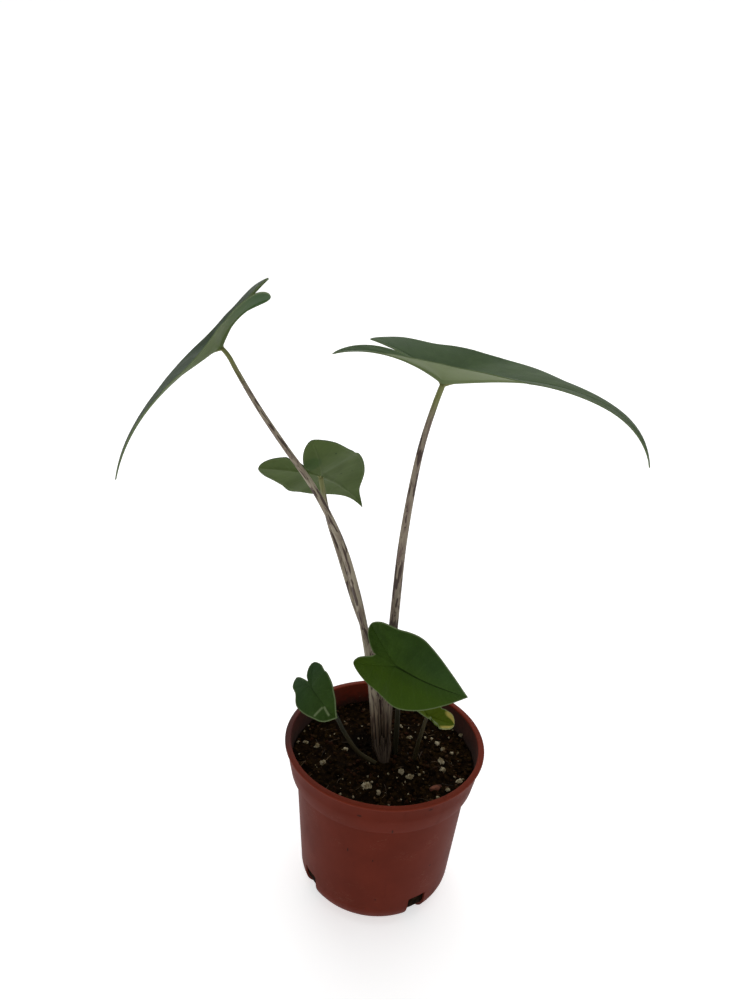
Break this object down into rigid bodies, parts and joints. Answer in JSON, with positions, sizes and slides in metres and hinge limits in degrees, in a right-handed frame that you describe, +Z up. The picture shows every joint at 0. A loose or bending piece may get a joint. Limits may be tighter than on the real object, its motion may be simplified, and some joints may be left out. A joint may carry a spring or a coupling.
{
  "type": "potted zebrina alocasia",
  "caption": "Zebrina alocasia with arrow-shaped drooping leaves on striped stalks, in a tapered terracotta-coloured nursery pot with soil and perlite.",
  "frame": {"origin": "middle of the flat underside of the pot, on the surface it stands on", "axes": "+Z up along the pot's axis; -Y faces the camera of the picture and +X is to its right"},
  "size_m": [0.256, 0.1343, 0.3661],
  "materials": {
    "pot": "satin moulded terracotta-brown plastic",
    "soil": "dark crumbly potting mix of peat and bark",
    "perlite": "matt porous off-white",
    "bark": "rough reddish-brown bark",
    "blade": "satin dark green, paler and duller underneath",
    "stalk": "cream-grey with irregular dark brown bands"
  },
  "bodies": {
    "root": {"pot": "pot", "soil": "soil", "perlite_01": "perlite", "perlite_02": "perlite", "perlite_03": "perlite", "perlite_04": "perlite", "perlite_05": "perlite", "perlite_06": "perlite", "perlite_07": "perlite", "perlite_08": "perlite", "perlite_09": "perlite", "perlite_10": "perlite", "perlite_11": "perlite", "perlite_12": "perlite", "bark_chip": "bark", "leaf_right_blade": "blade", "leaf_right_stalk": "stalk", "leaf_left_blade": "blade", "leaf_left_stalk": "stalk", "leaf_back_blade": "blade", "leaf_back_stalk": "stalk", "leaf_front_blade": "blade", "leaf_front_stalk": "stalk", "leaf_low_blade": "blade", "leaf_low_stalk": "stalk", "leaf_small_blade": "blade", "leaf_small_stalk": "stalk"}
  },
  "joints": []
}
